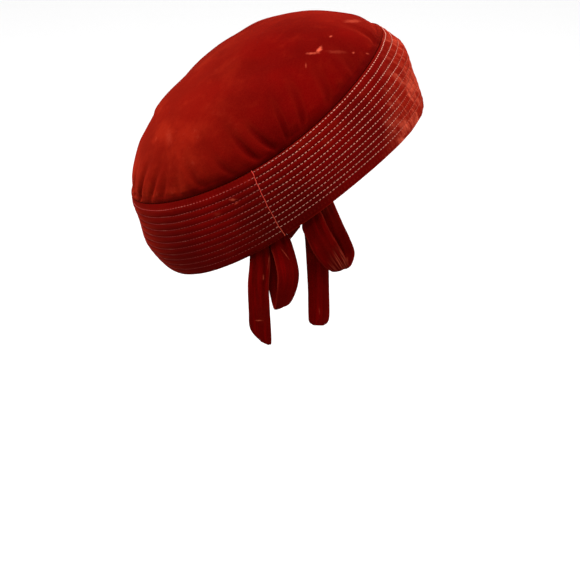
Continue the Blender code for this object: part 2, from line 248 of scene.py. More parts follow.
# Lengthwise creases pressed into each ribbon: place across it and depth in millimetres
# Columns: across_share, half_width_share, depth_mm, start_share, end_share
RIBBON_CREASES = {
    "left_tail": ((0.62, 0.3, 0.85, 0, 0.6), (-0.3, 0.4, 0.45, 0.1, 0.9),
                  (0.3, 0.3, 0.35, 0.6, 1)),
    "left_loop": ((0.25, 0.3, 0.95, 0, 0.28), (-0.5, 0.35, 0.6, 0, 0.45),
                  (0.55, 0.25, 0.45, 0.1, 0.45), (0.1, 0.35, 0.5, 0.55, 1)),
    "right_tail": ((0.25, 0.3, 0.6, 0.3, 1), (-0.45, 0.3, 0.55, 0.2, 0.9)),
    "right_loop": ((0.35, 0.26, 1, 0, 0.46), (-0.25, 0.28, 0.75, 0.1, 0.46),
                   (0.75, 0.2, 0.45, 0.1, 0.46), (0.2, 0.3, 0.8, 0.5, 1)),
}

# Where the pile has been crushed to a paler mark, in the part's axes
# Columns: x_mm, y_mm, z_mm, half_long_mm, half_wide_mm, slope_deg, strength
CROWN_MARKS = (
    (16.8, -68.4, 84.6, 3, 1.5, 48, 0.95),
    (13, -69.5, 82.8, 5, 0.9, 4, 0.6),
    (23.7, -56.9, 91.9, 1.3, 0.6, 10, 0.75),
    (36.7, -67, 82.9, 1.1, 0.7, 0, 0.55),
    (45.4, -61, 82, 1.6, 0.6, -15, 0.5),
    (8.9, -78, 76.1, 0.6, 1.6, 0, 0.35),
    (26, -66, 83.5, 9, 1.2, -2, 0.16),
    (39, -29, 100, 9, 1.4, 3, 0.36),
    (-72, -62, 33, 3, 7, 10, 0.16),
)
BAND_MARKS = (
    (-32.9, -103, 1.4, 3.2, 1, 8, 0.42),
    (-31, -103, -0.6, 1.8, 0.6, 40, 0.35),
    (-42.3, -100, -8.3, 3.4, 2.4, 10, 0.1),
)
RIBBON_MARKS = (
    (-15.9, -92, -45.8, 0.6, 2, 0, 0.6),
    (-18.5, -94, -71.4, 3, 0.5, 4, 0.45),
    (-12.8, -92, -37, 0.4, 5, -8, 0.4),
    (-3.4, -98, -31, 5.5, 0.4, -52, 0.4),
    (31, -93, -38.5, 4.5, 1.6, 12, 0.32),
    (33, -93, -36, 1, 3.2, 0, 0.3),
    (17, -87, -67, 0.4, 3, 5, 0.25),
)

# Rings of the knot from its left arm to its right
# Columns: knot_lengths, ribbon_widths, drop_share, fat_share
KNOT_SHAPE = (
    (-0.5, -1.66, 0, 0.3),
    (-0.5, -1.58, 0, 0.75),
    (-0.5, -1.41, 0, 1),
    (-0.5, -0.3, 0.06, 1),
    (-0.5, -0.14, 0.38, 1),
    (-0.5, -0.02, 0.66, 1),
    (-0.43, 0, 0.94, 1),
    (-0.32, 0, 1, 1),
    (0.3, 0, 0.73, 1),
    (0.43, 0, 0.68, 1),
    (0.49, 0, 0.5, 1),
    (0.5, 0.02, 0.1, 1),
    (0.5, 0.2, 0, 1),
    (0.5, 1.36, 0, 1),
    (0.5, 1.53, 0, 0.75),
    (0.5, 1.61, 0, 0.3),
)


def length(name, default, description):
    return FloatProperty(name=name, description=description, default=default, min=0.0,
                         unit="LENGTH", subtype="DISTANCE", precision=4)


def share(name, default, description):
    return FloatProperty(name=name, description=description, default=default, precision=3)


def angle(name, degrees, description):
    return FloatProperty(name=name, description=description, default=radians(degrees),
                         unit="ROTATION", subtype="ANGLE")


def colour(name, default, description):
    return FloatVectorProperty(name=name, description=description, default=default,
                               size=3, min=0.0, max=1.0, subtype="COLOR")


class HatSizes(PropertyGroup):
    """Sizes of the band and the crown"""
    lean: angle("Lean", 30.4, "How far the hat leans to the wearer's left")
    tip_back: angle("Tip Back", 10.0, "How far the hat is tipped to the back of the head")
    turn: angle("Turn", -7.6, "Turn of the hat about its own axis")
    band_width: length("Band Width", 0.1912, "Width across the band's lower edge")
    length_ratio: share("Length Ratio", 1.04, "Front to back as a share of the width")
    top_share: share("Top Share", 0.985, "Width of the upper edge as a share of the lower")
    band_height: length("Band Height", 0.0488, "Mean height of the band")
    band_swell: length("Band Swell", 0.0050, "How far the wall bulges at half height")
    band_wall: length("Band Wall", 0.0026, "Thickness of the band's wall")
    top_offset: share("Top Offset", 0.032, "Sideways shift of the upper edge")
    gap: length("Gap", 0.0003, "Gap between neighbouring pieces")
    crown_rise: length("Crown Rise", 0.0450, "Height of the apex over the band's upper edge")
    crown_wall: length("Crown Wall", 0.0020, "Thickness of the crown's velvet")
    crease_depth: length("Crease Depth", 0.0030, "Depth of the crown's deepest fold")
    gather_depth: length("Gather Depth", 0.0007, "Depth of the small gathers at its rim")
    dent_depth: length("Dent Depth", 0.0040, "Depth of the crown's deepest dent")
    skirt_share: share("Skirt Share", 0.10, "Part of the crown tucked inside the band")
    seam_half: angle("Seam Half Width", 0.45, "Half the angle taken up by the back seam")
    seam_depth: length("Seam Depth", 0.0007, "Depth of the back seam")


class StitchSizes(PropertyGroup):
    """Rows of stitching on the band"""
    rows: IntProperty(name="Rows", description="Rows of stitching", default=11, min=1)
    first_row: share("First Row", 0.014, "First row below the upper edge, share of height")
    row_pitch: share("Row Pitch", 0.082, "Distance between rows, share of height")
    drift: share("Drift", 0.062, "How much lower a row is after one round")
    groove: length("Groove", 0.00045, "Depth of the groove along a row")
    puff: length("Puff", 0.00026, "How far the velvet puffs out between rows")
    pitch: length("Stitch Pitch", 0.00245, "Distance from stitch to stitch")
    stitch: length("Stitch Length", 0.0018, "Visible length of a stitch")
    thread: length("Thread Radius", 0.00028, "Radius of the thread")
    seam_pitch: length("Seam Pitch", 0.0017, "Distance from stitch to stitch in the back seam")
    seam_stitch: length("Seam Stitch", 0.0024, "Visible length of its stitches")
    seed: IntProperty(name="Seed", description="Seed of the small differences", default=7)


class BowSizes(PropertyGroup):
    """Ribbon and knot of the bow"""
    ribbon_width: length("Ribbon Width", 0.0127, "Width of the ribbon")
    ribbon_thickness: length("Ribbon Thickness", 0.0019, "Thickness of the doubled ribbon")
    knot_length: length("Knot Length", 0.0099, "Length of the knot's thick middle")
    knot_shift: share("Knot Shift", -0.106, "Middle of the knot, in lengths of the knot")
    knot_drop: length("Knot Drop", 0.0062, "How far the knot hangs below the band")
    knot_slant: share("Knot Slant", 0.55, "Sideways run of the knot for its drop")
    knot_tuck: share("Knot Tuck", 0.55, "Inward run of the knot for its drop")
    knot_depth: length("Knot Depth", 0.0060, "Depth of the knot")
    knot_angle: angle("Knot Angle", 274.6, "Place of the knot about the hat's axis")
    knot_share: share("Knot Height Share", 0.025, "Knot above the band's lower edge")
    arm_top: share("Arm Top", 0.70, "Top of the knot's arms, share of the ribbon's width")
    arm_foot: share("Arm Foot", 0.285, "Underside of the knot's arms, share of the width")


class VelvetLook(PropertyGroup):
    """Colours of the velvet and the thread"""
    # Dark pile in random mottling, and the colour of the painted shade on the band's left side and
    # in the crown's folds and rim
    deep_pile_and_shade: colour("Deep Pile", (0.105, 0.0002, 0.0002), "Pile seen end on")
    main: colour("Velvet", (0.215, 0.0003, 0.0003), "Velvet in even light")
    # Paler pile in random patches, and the colour of the painted sheen and highlights on the
    # crown, the band's lower edge and its right end
    brushed_pile_and_highlight: colour("Brushed Pile", (0.46, 0.022, 0.006), "Pile brushed to the light")
    # Worn and crushed pile, and the colour of painted highlights on the puckers, the ribbon rims,
    # the turn of the right loop and the band's right end
    crushed_pile_and_highlight: colour("Crushed Pile", (0.85, 0.12, 0.06), "Worn and crushed pile")
    sheen: colour("Sheen", (1.0, 0.050, 0.016), "Tint of the sheen at the edges")
    thread: colour("Thread", (1.0, 0.42, 0.31), "Colour of the thread")
    # Thread sunk in the pile, also the painted shade on the rows' thread left of the back seam
    sunk_and_shaded_thread: colour("Sunk Thread", (0.50, 0.055, 0.050), "Thread sunk in the pile")
    seam: colour("Seam Thread", (0.95, 0.060, 0.050), "Thread of the back seam")
    body: share("Hat Brightness", 0.92, "Brightness of the band's and crown's velvet")
    ribbon: share("Ribbon Brightness", 0.68, "Brightness of the ribbon's velvet")
    sheen_weight: share("Sheen Weight", 0.55, "Strength of the sheen")
    sheen_roughness: share("Sheen Roughness", 0.32, "Width of the sheen")


class StudioLook(PropertyGroup):
    """Floor, light and camera"""
    surround: share("Surround", 0.32, "Strength of the white surround")
    sky: share("Overhead Light", 2.6, "Strength of the broad light from above")
    key: share("Key Light", 5.0, "Power of the light at the upper left")
    side: share("Side Light", 7.0, "Power of the light at the right")
    camera_height: angle("Camera Height", 12.0, "Angle of the camera above the horizon")


SETTINGS = {"hat_sizes": HatSizes, "hat_stitches": StitchSizes, "hat_bow": BowSizes,
            "hat_look": VelvetLook, "hat_studio": StudioLook}


# Shapes

def worn_turn(hat):
    """Turns the hat's own axes into the part's axes."""
    return np.array(Euler((hat.tip_back, -hat.lean, hat.turn), "ZXY").to_matrix())


def waves(table, around):
    """Sum of the table's waves at each angle."""
    return sum(c * np.cos(n * around) + s * np.sin(n * around) for n, c, s in table)


def wall_point(hat, around, height, depth):
    """Points of the band wall in the hat's own axes: height 0 to 1, depth inwards."""
    around, height, depth = np.broadcast_arrays(around, height, depth)
    half = hat.band_width / 2
    reach = half * (1 + (hat.top_share - 1) * height)
    swell = hat.band_swell * np.clip(1 - (2 * height - 1) ** 2, 0, None)
    for at, wide, level, tall, part in BULGES:
        beside = bell(between(np.degrees(around), at) / wide)
        swell = swell + hat.band_swell * part * beside * bell((height - level) / tall)
    x = (reach + swell - depth) * np.cos(around) + half * hat.top_offset * height
    y = (reach * hat.length_ratio + swell - depth) * np.sin(around)
    low = hat.band_height * waves(LOWER_EDGE_WAVES, around)
    high = hat.band_height * (1 + waves(UPPER_EDGE_WAVES, around))
    return np.stack([x, y, low + (high - low) * height], axis=-1)


def soft_noise(points, size, shift):
    """Smooth noise from -1 to 1 at each point; size is that of its bumps in metres."""
    flat = points.reshape(-1, 3) / size
    values = [noise.noise(Vector(p) + Vector((shift, -shift, 2 * shift))) for p in flat]
    return np.array(values).reshape(points.shape[:-1])


def bell(distance):
    """1 at no distance, 0 from a distance of 1, smooth between."""
    near = 0.5 + 0.5 * np.cos(pi * np.clip(distance, -1, 1))
    return np.where(np.abs(distance) < 1, near, 0.0)


def between(degrees, other):
    """Shortest way round from one angle to another, in degrees."""
    return (degrees - other + 180) % 360 - 180


def spline(table, steps):
    """Catmull-Rom curve through the rows of a table."""
    rows = np.array(table, dtype=float)
    ends = np.vstack([2 * rows[0] - rows[1], rows, 2 * rows[-1] - rows[-2]])
    out = []
    for i in range(len(rows) - 1):
        a, b, c, d = ends[i:i + 4]
        for k in range(steps):
            t = k / steps
            out.append(0.5 * (2 * b + (c - a) * t + (2 * a - 5 * b + 4 * c - d) * t ** 2
                              + (3 * b - a - 3 * c + d) * t ** 3))
    out.append(rows[-1])
    return np.array(out)


def grid_normals(rings):
    """Normals of a stack of closed rings, pointing out of the stack."""
    around = np.roll(rings, -1, axis=1) - np.roll(rings, 1, axis=1)
    out = np.cross(around, np.gradient(rings, axis=0))
    return out / np.linalg.norm(out, axis=2, keepdims=True)


def seam_rounds(count):
    """Shares of one round from the back seam, closer together beside it."""
    even = np.linspace(0.0, 1.0, count, endpoint=False) + 0.5 / count
    fine = np.array(SEAM_SHARES)
    inner = even[(even > SEAM_CLEAR) & (even < 1 - SEAM_CLEAR)]
    return np.concatenate([fine, inner, 1 - fine[:0:-1]])


def around_of(rounds):
    return SEAM_ANGLE + 2 * pi * rounds


def row_height(stitches, rounds, row):
    """Height share of a stitch row at a share of the round; row may be a fraction."""
    return 1 - stitches.first_row - stitches.drift * rounds - stitches.row_pitch * row


def sway(points, table):
    """Small hand-made unevenness at each point, in metres."""
    return sum(soft_noise(points, size, shift) * height for size, shift, height in table)


def band_sway(points):
    """Unevenness of the band's face, with its crumpled right end."""
    right = np.clip((points[..., 0] - CRUMPLE_START) / CRUMPLE_RUN, 0, 1)
    return sway(points, BAND_SWAY) + sway(points, BAND_CRUMPLE) * right


def seam_press(hat, rounds):
    """1 in the back seam, 0 away from it."""
    off = np.minimum(rounds, 1 - rounds) * 360
    return np.exp(-(off / np.degrees(hat.seam_half)) ** 2)


def skin_mesh(name, grid, closed, uvs=None, apexes=()):
    """Closed mesh through rings, facing out; closed joins the last ring to the first."""
    count, size = grid.shape[:2]
    points = [tuple(p) for p in grid.reshape(-1, 3)]
    faces = []
    for i in range(count if closed else count - 1):
        j = (i + 1) % count
        for k in range(size):
            m = (k + 1) % size
            faces.append((i * size + k, i * size + m, j * size + m, j * size + k))
    for i, apex in zip((0, count - 1), apexes):
        points.append(tuple(apex))
        hub = len(points) - 1
        for k in range(size):
            m = (k + 1) % size
            pair = (i * size + m, i * size + k) if i == 0 else (i * size + k, i * size + m)
            faces.append((hub,) + pair)
    mesh = bpy.data.meshes.new(name)
    mesh.from_pydata(points, [], faces)
    if uvs is not None:
        layer = mesh.uv_layers.new(name="cloth")
        flat = uvs.reshape(-1, 2)
        for loop in mesh.loops:
            if loop.vertex_index < len(flat):
                layer.data[loop.index].uv = flat[loop.vertex_index]
    mesh.shade_smooth()
    shell = bmesh.new()
    shell.from_mesh(mesh)
    bmesh.ops.recalc_face_normals(shell, faces=shell.faces)
    shell.to_mesh(mesh)
    shell.free()
    return mesh


def place(name, mesh, material, slot, *nodes):
    """Adds a finished piece in the part's place and hides the model parts that it stands for."""
    mesh.materials.clear()
    mesh.materials.append(material)
    piece = bpy.data.objects.new(name, mesh)
    bpy.context.scene.collection.objects.link(piece)
    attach(piece, "root")
    if nodes:
        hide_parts(*nodes)
    return piece


# Materials

# Noise in the pile. Columns: scale_per_metre, detail, roughness
CLOUDS = (26.0, 3.0, 0.5)
PATCHES = (95.0, 3.0, 0.6)
PILE = (1500.0, 2.0, 0.6)
NAP = (320.0, 3.0, 0.6)
RAGGED = (620.0, 2.0)
BRUSHED_CLOUDS = (40.0, 4.0, 0.62)
FLECKS = (210.0, 3.0, 0.7)
RIM_NOISE = (70.0, 2.0)
TWIST = (2600.0, 2.0)
THREAD_PATCHES = (75.0, 3.0, 0.7)

# Places across the part where the cloth or thread changes, from and to, in metres
# Painted shade: the band's velvet is darkened left of these places
BAND_PAINTED_SHADE = (-0.090, -0.045)
# Painted sheen: the crown's velvet is lightened left of these places
CROWN_PAINTED_SHEEN = (-0.085, 0.000)
# Painted shade, where the thread also sinks in the pile: the rows' thread is darker left of these
# places
THREAD_SHADED_SIDE = (-0.034, 0.004)
# Painted highlight where the right loop turns, right of these places
LOOP_TURN = (0.020, 0.030)
WORN_SIDE = (0.052, 0.072)
THREAD_LOST = (0.058, 0.070)

# Where the worn right end of the band ends to the front
WORN_FRONT = (0.012, 0.045)


class Wire:
    """A shader socket that arithmetic can be written with."""

    def __init__(self, sheet, socket):
        self.sheet = sheet
        self.socket = socket

    def _math(self, operation, first, second, clamp=False):
        made = self.sheet.add("ShaderNodeMath", {"operation": operation, "use_clamp": clamp},
                              {0: first, 1: second})
        return Wire(self.sheet, made.outputs[0])

    def __add__(self, other):
        return self._math("ADD", self, other)

    def __sub__(self, other):
        return self._math("SUBTRACT", self, other)

    def __rsub__(self, other):
        return self._math("SUBTRACT", other, self)

    def __mul__(self, other):
        return self._math("MULTIPLY", self, other)

    def clamped(self):
        return self._math("ADD", self, 0.0, clamp=True)

    def most(self, other):
        return self._math("MAXIMUM", self, other)


class Sheet:
    """Node sheet of one material."""

    def __init__(self, name):
        self.material = bpy.data.materials.new(name)
        self.material.use_nodes = True
        self.tree = self.material.node_tree
        self.shader = self.tree.nodes["Principled BSDF"]

    def add(self, kind, settings=None, sockets=None):
        node = self.tree.nodes.new(kind)
        for key, value in (settings or {}).items():
            setattr(node, key, value)
        self.set(node, sockets or {})
        return node

    def set(self, node, sockets):
        for key, value in sockets.items():
            if isinstance(value, Wire):
                self.tree.links.new(value.socket, node.inputs[key])
            else:
                node.inputs[key].default_value = value

    def out(self, kind, settings=None, sockets=None, output=0):
        return Wire(self, self.add(kind, settings, sockets).outputs[output])

    def noise(self, where, scale, detail=3.0, roughness=0.55):
        return self.out("ShaderNodeTexNoise", {}, {
            "Vector": where, "Scale": scale, "Detail": detail, "Roughness": roughness})

    def step(self, value, low, high):
        """0 below low, 1 above high, smooth between."""
        return self.out("ShaderNodeMapRange", {"interpolation_type": "SMOOTHSTEP"}, {
            "Value": value, "From Min": low, "From Max": high})

    def mix(self, factor, first, second):
        node = self.add("ShaderNodeMix", {"data_type": "RGBA"}, {
            "Factor": factor if isinstance(factor, Wire) else float(factor)})
        for socket, value in ((node.inputs[6], first), (node.inputs[7], second)):
            if isinstance(value, Wire):
                self.tree.links.new(value.socket, socket)
            else:
                socket.default_value = (*value, 1.0)
        return Wire(self, node.outputs[2])

    def object_place(self):
        return self.out("ShaderNodeTexCoord", output=3)

    def combined(self, x, y, z=0.0):
        return self.out("ShaderNodeCombineXYZ", {}, {0: x, 1: y, 2: z})

    def apart(self, vector, axis):
        return self.out("ShaderNodeSeparateXYZ", {}, {0: vector}, axis)

    def bump(self, strength, distance, height):
        return self.out("ShaderNodeBump", {}, {
            "Strength": strength, "Distance": distance, "Height": height})


def crushed_marks(sheet, where, marks):
    """1 on each pale mark in the pile, 0 elsewhere."""
    ragged = sheet.noise(where, *RAGGED)
    total = None
    for x, y, z, long_mm, wide_mm, slope, strength in marks:
        near = sheet.out("ShaderNodeMapping", {"vector_type": "TEXTURE"}, {
            "Vector": where, "Location": (x / 1000, y / 1000, z / 1000),
            "Rotation": (0.0, radians(-slope), 0.0),
            "Scale": (long_mm / 1000, 0.012, wide_mm / 1000)})
        off = sheet.out("ShaderNodeVectorMath", {"operation": "LENGTH"}, {0: near}, 1)
        spot = (1 - sheet.step(off + ragged * 1.1 - 0.55, 0.05, 1.05)) * strength
        total = spot if total is None else total.most(spot)
    return total


def velvet(name, look, brightness, marks, mottle=1.0):
    """Short red pile: darker and paler in random clouds and patches, and paler where it is
    flattened.
    """
    sheet = Sheet(name)
    where = sheet.object_place()
    main, deep_pile_and_shade, brushed_pile_and_highlight = (tuple(part * brightness for part in shade)
                           for shade in (look.main, look.deep_pile_and_shade, look.brushed_pile_and_highlight))
    cloud = sheet.step(sheet.noise(where, *CLOUDS), 0.35, 0.72)
    patch = sheet.step(sheet.noise(where, *PATCHES), 0.52, 0.80)
    pile = sheet.noise(where, *PILE)
    nap = sheet.noise(where, *NAP)
    tone = sheet.mix(cloud * (0.55 * mottle) + 0.35, deep_pile_and_shade, main)
    tone = sheet.mix(patch * (0.14 * mottle), tone, brushed_pile_and_highlight)
    tone = sheet.mix(sheet.step(pile, 0.32, 0.76) * 0.11, tone, brushed_pile_and_highlight)
    sheet.tone = sheet.mix(crushed_marks(sheet, where, marks), tone, look.crushed_pile_and_highlight)
    sheet.height = pile * 0.6 + nap * 0.8
    sheet.set(sheet.shader, {
        "Roughness": 0.92, "Specular IOR Level": 0.02, "Sheen Weight": look.sheen_weight,
        "Sheen Roughness": look.sheen_roughness, "Sheen Tint": (*look.sheen, 1.0)})
    return sheet


def finish_velvet(sheet, tone, height=None):
    """Joins the pile's colour and relief to the shader."""
    sheet.set(sheet.shader, {"Base Color": tone,
                             "Normal": sheet.bump(0.45, 0.0004, height or sheet.height)})
    return sheet.material


def cloth_place(sheet):
    """The two measures that a piece keeps for each point of its cloth."""
    lie = sheet.out("ShaderNodeUVMap", {"uv_map": "cloth"})
    return sheet.apart(lie, 0), sheet.apart(lie, 1)


def along_axis(sheet, axis, low, high):
    """0 before one place along an axis of the part, 1 past another."""
    return sheet.step(sheet.apart(sheet.object_place(), axis), low, high)


def sideways(sheet, low, high):
    """0 left of one place across the hat, 1 right of another."""
    return along_axis(sheet, 0, low, high)


def band_wear_and_painted_light(sheet, look, stitches):
    """Flattened pile at the band's right end with painted highlights in it, painted shade on the
    band's left side, a painted highlight along its lower edge, and puckers along its stitching
    with painted highlights on them.
    """
    run, row = cloth_place(sheet)
    right = sideways(sheet, *WORN_SIDE) * (1 - along_axis(sheet, 1, *WORN_FRONT))
    left = 1 - sideways(sheet, *BAND_PAINTED_SHADE)
    slant = sheet.combined(run * 190.0 - row * 0.35, row * 0.16)
    streak = sheet.step(sheet.noise(slant, 1.0, 4.0, 0.65), 0.48, 0.62)
    broad = sheet.combined(run * 80.0 - row * 0.25, row * 0.22)
    flare = sheet.step(sheet.noise(broad, 1.0, 3.0, 0.6), 0.46, 0.60)
    shade = sheet.step(sheet.noise(slant, 2.3, 2.0), 0.42, 0.58)
    wave = sheet.out("ShaderNodeMath", {"operation": "SINE"}, {0: run * (2 * pi / stitches.pitch)})
    beside = sheet.out("ShaderNodeMath", {"operation": "PINGPONG"}, {0: row, 1: 0.5})
    pucker = wave * (1 - sheet.step(beside, 0.05, 0.36))
    # Painted shade on the band's left side, toward the dark pile colour
    tone = sheet.mix(left * 0.45, sheet.tone, look.deep_pile_and_shade)
    # The right end: crushed pile, with painted highlights in its pale streaks and patches
    tone = sheet.mix(right * 0.45, tone, look.brushed_pile_and_highlight)
    tone = sheet.mix(right * flare * 0.50, tone, look.crushed_pile_and_highlight)
    tone = sheet.mix(right * streak * (flare * 0.60 + 0.32), tone, look.crushed_pile_and_highlight)
    tone = sheet.mix((1 - shade) * right * 0.62, tone, look.main)
    # Painted highlight on the puckers beside each row, stronger at the right end
    tone = sheet.mix((pucker * (right * 0.16 + 0.05)).clamped(), tone, look.crushed_pile_and_highlight)
    # Painted highlight along the folded lower edge of the band
    low = 1 - stitches.first_row - run * stitches.drift - row * stitches.row_pitch
    tone = sheet.mix((1 - sheet.step(low, 0.004, 0.030)) * 0.30, tone, look.brushed_pile_and_highlight)
    return tone, sheet.height + pucker * (right * 0.35 + 0.35) + streak * right * 1.4


def crown_painted_shade_and_light(sheet, look):
    """Painted shade in the crown's folds and along its rim, painted sheen with paler flecks on its
    left side, and a painted highlight beside each fold.
    """
    fold, climb = cloth_place(sheet)
    where = sheet.object_place()
    left = 1 - sideways(sheet, *CROWN_PAINTED_SHEEN)
    cloud = sheet.step(sheet.noise(where, *BRUSHED_CLOUDS), 0.42, 0.66)
    fleck = sheet.step(sheet.noise(where, *FLECKS), 0.56, 0.74)
    rim = 1 - sheet.step(climb + sheet.noise(where, *RIM_NOISE) * 0.05, 0.025, 0.085)
    # Painted sheen on the crown's left side, with paler flecks in it
    tone = sheet.mix(left * (cloud * 0.34 + 0.20), sheet.tone, look.brushed_pile_and_highlight)
    tone = sheet.mix(left * cloud * fleck * 0.14, tone, look.crushed_pile_and_highlight)
    # Painted highlight beside each fold
    beside = sheet.step(fold, 0.02, 0.20) * (1 - sheet.step(fold, 0.20, 0.45))
    tone = sheet.mix(beside * 0.07, tone, look.brushed_pile_and_highlight)
    # Painted shade in the folds and along the rim where the crown meets the band
    return sheet.mix((fold * 0.95).most(rim * 0.62).clamped(), tone, look.deep_pile_and_shade)


def ribbon_wear_and_painted_light(sheet, look):
    """Lengthwise streaks, painted highlights along the rims, flattened ends, and a painted
    highlight where the right loop turns, on the ribbon of the bow.
    """
    across, run = cloth_place(sheet)
    sideways_place = sheet.apart(sheet.object_place(), 0)
    lengthwise = sheet.combined(across * 2.6, run * 2.2, sideways_place * 60.0)
    streak = sheet.step(sheet.noise(lengthwise, 1.0, 4.0, 0.62), 0.44, 0.66)
    fine = sheet.combined(across * 7.0, run * 3.0)
    flame = sheet.step(sheet.noise(fine, 1.0, 3.0, 0.6), 0.44, 0.60)
    turned = sheet.step(run, 0.33, 0.44) * (1 - sheet.step(run, 0.47, 0.56))
    aside = sheet.out("ShaderNodeMath", {"operation": "ABSOLUTE"}, {0: across})
    rim = sheet.step(aside, 0.84, 0.99)
    tone = sheet.mix(streak * 0.34, sheet.tone, tuple(c * 1.5 for c in look.main))
    # Painted highlight along the ribbon's rims
    tone = sheet.mix(rim * (streak * 0.10 + 0.03), tone, look.crushed_pile_and_highlight)
    tone = sheet.mix(sheet.step(run, 0.93, 1.0) * flame * 0.20, tone, look.crushed_pile_and_highlight)
    # Painted highlight where the ribbon turns at the foot of the right loop
    tone = sheet.mix(turned * flame * sideways(sheet, *LOOP_TURN) * 0.55, tone, look.crushed_pile_and_highlight)
    return tone, sheet.height + streak * 0.5


def thread_material(name, sunk, clear, look):
    """Twisted thread, paler right of the back seam and darker left of it, where it sinks in the
    pile and shade is painted, and lost in the flattened pile at the right.
    """
    sheet = Sheet(name)
    where = sheet.object_place()
    twist = sheet.noise(where, *TWIST)
    patch = sheet.noise(where, *THREAD_PATCHES)
    side = sideways(sheet, *THREAD_SHADED_SIDE)
    # Painted shade: the thread darkens toward the sunk tone left of the back seam, where it also
    # sinks in the pile, broken by random paler patches
    tone = sheet.mix((side * 0.95 + patch * 1.3 - 0.68).clamped(), sunk, clear)
    lost = sideways(sheet, *THREAD_LOST) * (1 - along_axis(sheet, 1, *WORN_FRONT))
    tone = sheet.mix(lost * 0.90, tone, sheet.mix(0.45, look.brushed_pile_and_highlight, look.crushed_pile_and_highlight))
    sheet.set(sheet.shader, {"Base Color": tone, "Normal": sheet.bump(0.5, 0.0001, twist),
                             "Roughness": 0.7, "Specular IOR Level": 0.05})
    return sheet.material


# Thread laid along lines

def stitch_tree():
    """Node tree that lays one stitch at every pitch along the edges of a mesh."""
    tree = bpy.data.node_groups.new("thread_stitches", "GeometryNodeTree")
    face = tree.interface
    face.new_socket("Geometry", in_out="INPUT", socket_type="NodeSocketGeometry")
    for label in ("Stitch Pitch", "Stitch Length", "Thread Radius"):
        made = face.new_socket(label, in_out="INPUT", socket_type="NodeSocketFloat")
        made.subtype = "DISTANCE"
    face.new_socket("Seed", in_out="INPUT", socket_type="NodeSocketInt")
    face.new_socket("Thread", in_out="INPUT", socket_type="NodeSocketMaterial")
    face.new_socket("Geometry", in_out="OUTPUT", socket_type="NodeSocketGeometry")

    def add(kind, **settings):
        node = tree.nodes.new(kind)
        for key, value in settings.items():
            setattr(node, key, value)
        return node

    given = add("NodeGroupInput")
    line = add("GeometryNodeMeshToCurve")
    points = add("GeometryNodeCurveToPoints", mode="LENGTH")
    ball = add("GeometryNodeMeshUVSphere")
    for label, value in (("Segments", 6), ("Rings", 5), ("Radius", 1.0)):
        ball.inputs[label].default_value = value
    half = add("ShaderNodeMath", operation="MULTIPLY")
    half.inputs[1].default_value = 0.5
    size = add("ShaderNodeCombineXYZ")
    stitch = add("GeometryNodeTransform")
    vary = add("FunctionNodeRandomValue", data_type="FLOAT_VECTOR")
    vary.inputs[0].default_value = STITCH_LEAST
    vary.inputs[1].default_value = STITCH_MOST
    lay = add("GeometryNodeInstanceOnPoints")
    real = add("GeometryNodeRealizeInstances")
    smooth = add("GeometryNodeSetShadeSmooth")
    paint = add("GeometryNodeSetMaterial")
    done = add("NodeGroupOutput")
    for first, output, second, entry in (
            (given, "Geometry", line, "Mesh"), (line, "Curve", points, "Curve"),
            (given, "Stitch Pitch", points, "Length"), (given, "Thread Radius", size, "X"),
            (given, "Thread Radius", size, "Y"), (given, "Stitch Length", half, 0),
            (half, 0, size, "Z"), (ball, "Mesh", stitch, "Geometry"),
            (size, "Vector", stitch, "Scale"), (points, "Points", lay, "Points"),
            (points, "Rotation", lay, "Rotation"), (stitch, "Geometry", lay, "Instance"),
            (given, "Seed", vary, "Seed"), (vary, 0, lay, "Scale"),
            (lay, "Instances", real, "Geometry"), (real, "Geometry", smooth, "Geometry"),
            (smooth, "Geometry", paint, "Geometry"), (given, "Thread", paint, "Material"),
            (paint, "Geometry", done, "Geometry")):
        tree.links.new(first.outputs[output], second.inputs[entry])
    return tree


def lay_stitches(name, lines, pitch, stitch, radius, seed, material):
    """Plain mesh of stitches along lines of points."""
    points = []
    edges = []
    for one in lines:
        start = len(points)
        points += [tuple(p) for p in one]
        edges += [(start + i, start + i + 1) for i in range(len(one) - 1)]
    guide_mesh = bpy.data.meshes.new(name + "_lines")
    guide_mesh.from_pydata(points, edges, [])
    guide = bpy.data.objects.new(name + "_lines", guide_mesh)
    bpy.context.scene.collection.objects.link(guide)
    tree = stitch_tree()
    modifier = guide.modifiers.new("stitches", "NODES")
    modifier.node_group = tree
    values = {"Stitch Pitch": pitch, "Stitch Length": stitch, "Thread Radius": radius,
              "Seed": seed, "Thread": material}
    for item in tree.interface.items_tree:
        if item.in_out == "INPUT" and item.name in values:
            modifier[item.identifier] = values[item.name]
    bpy.context.view_layer.update()
    seen = guide.evaluated_get(bpy.context.evaluated_depsgraph_get())
    mesh = bpy.data.meshes.new_from_object(seen)
    mesh.name = name
    guide.modifiers.clear()
    bpy.data.objects.remove(guide, do_unlink=True)
    return mesh


# Operators

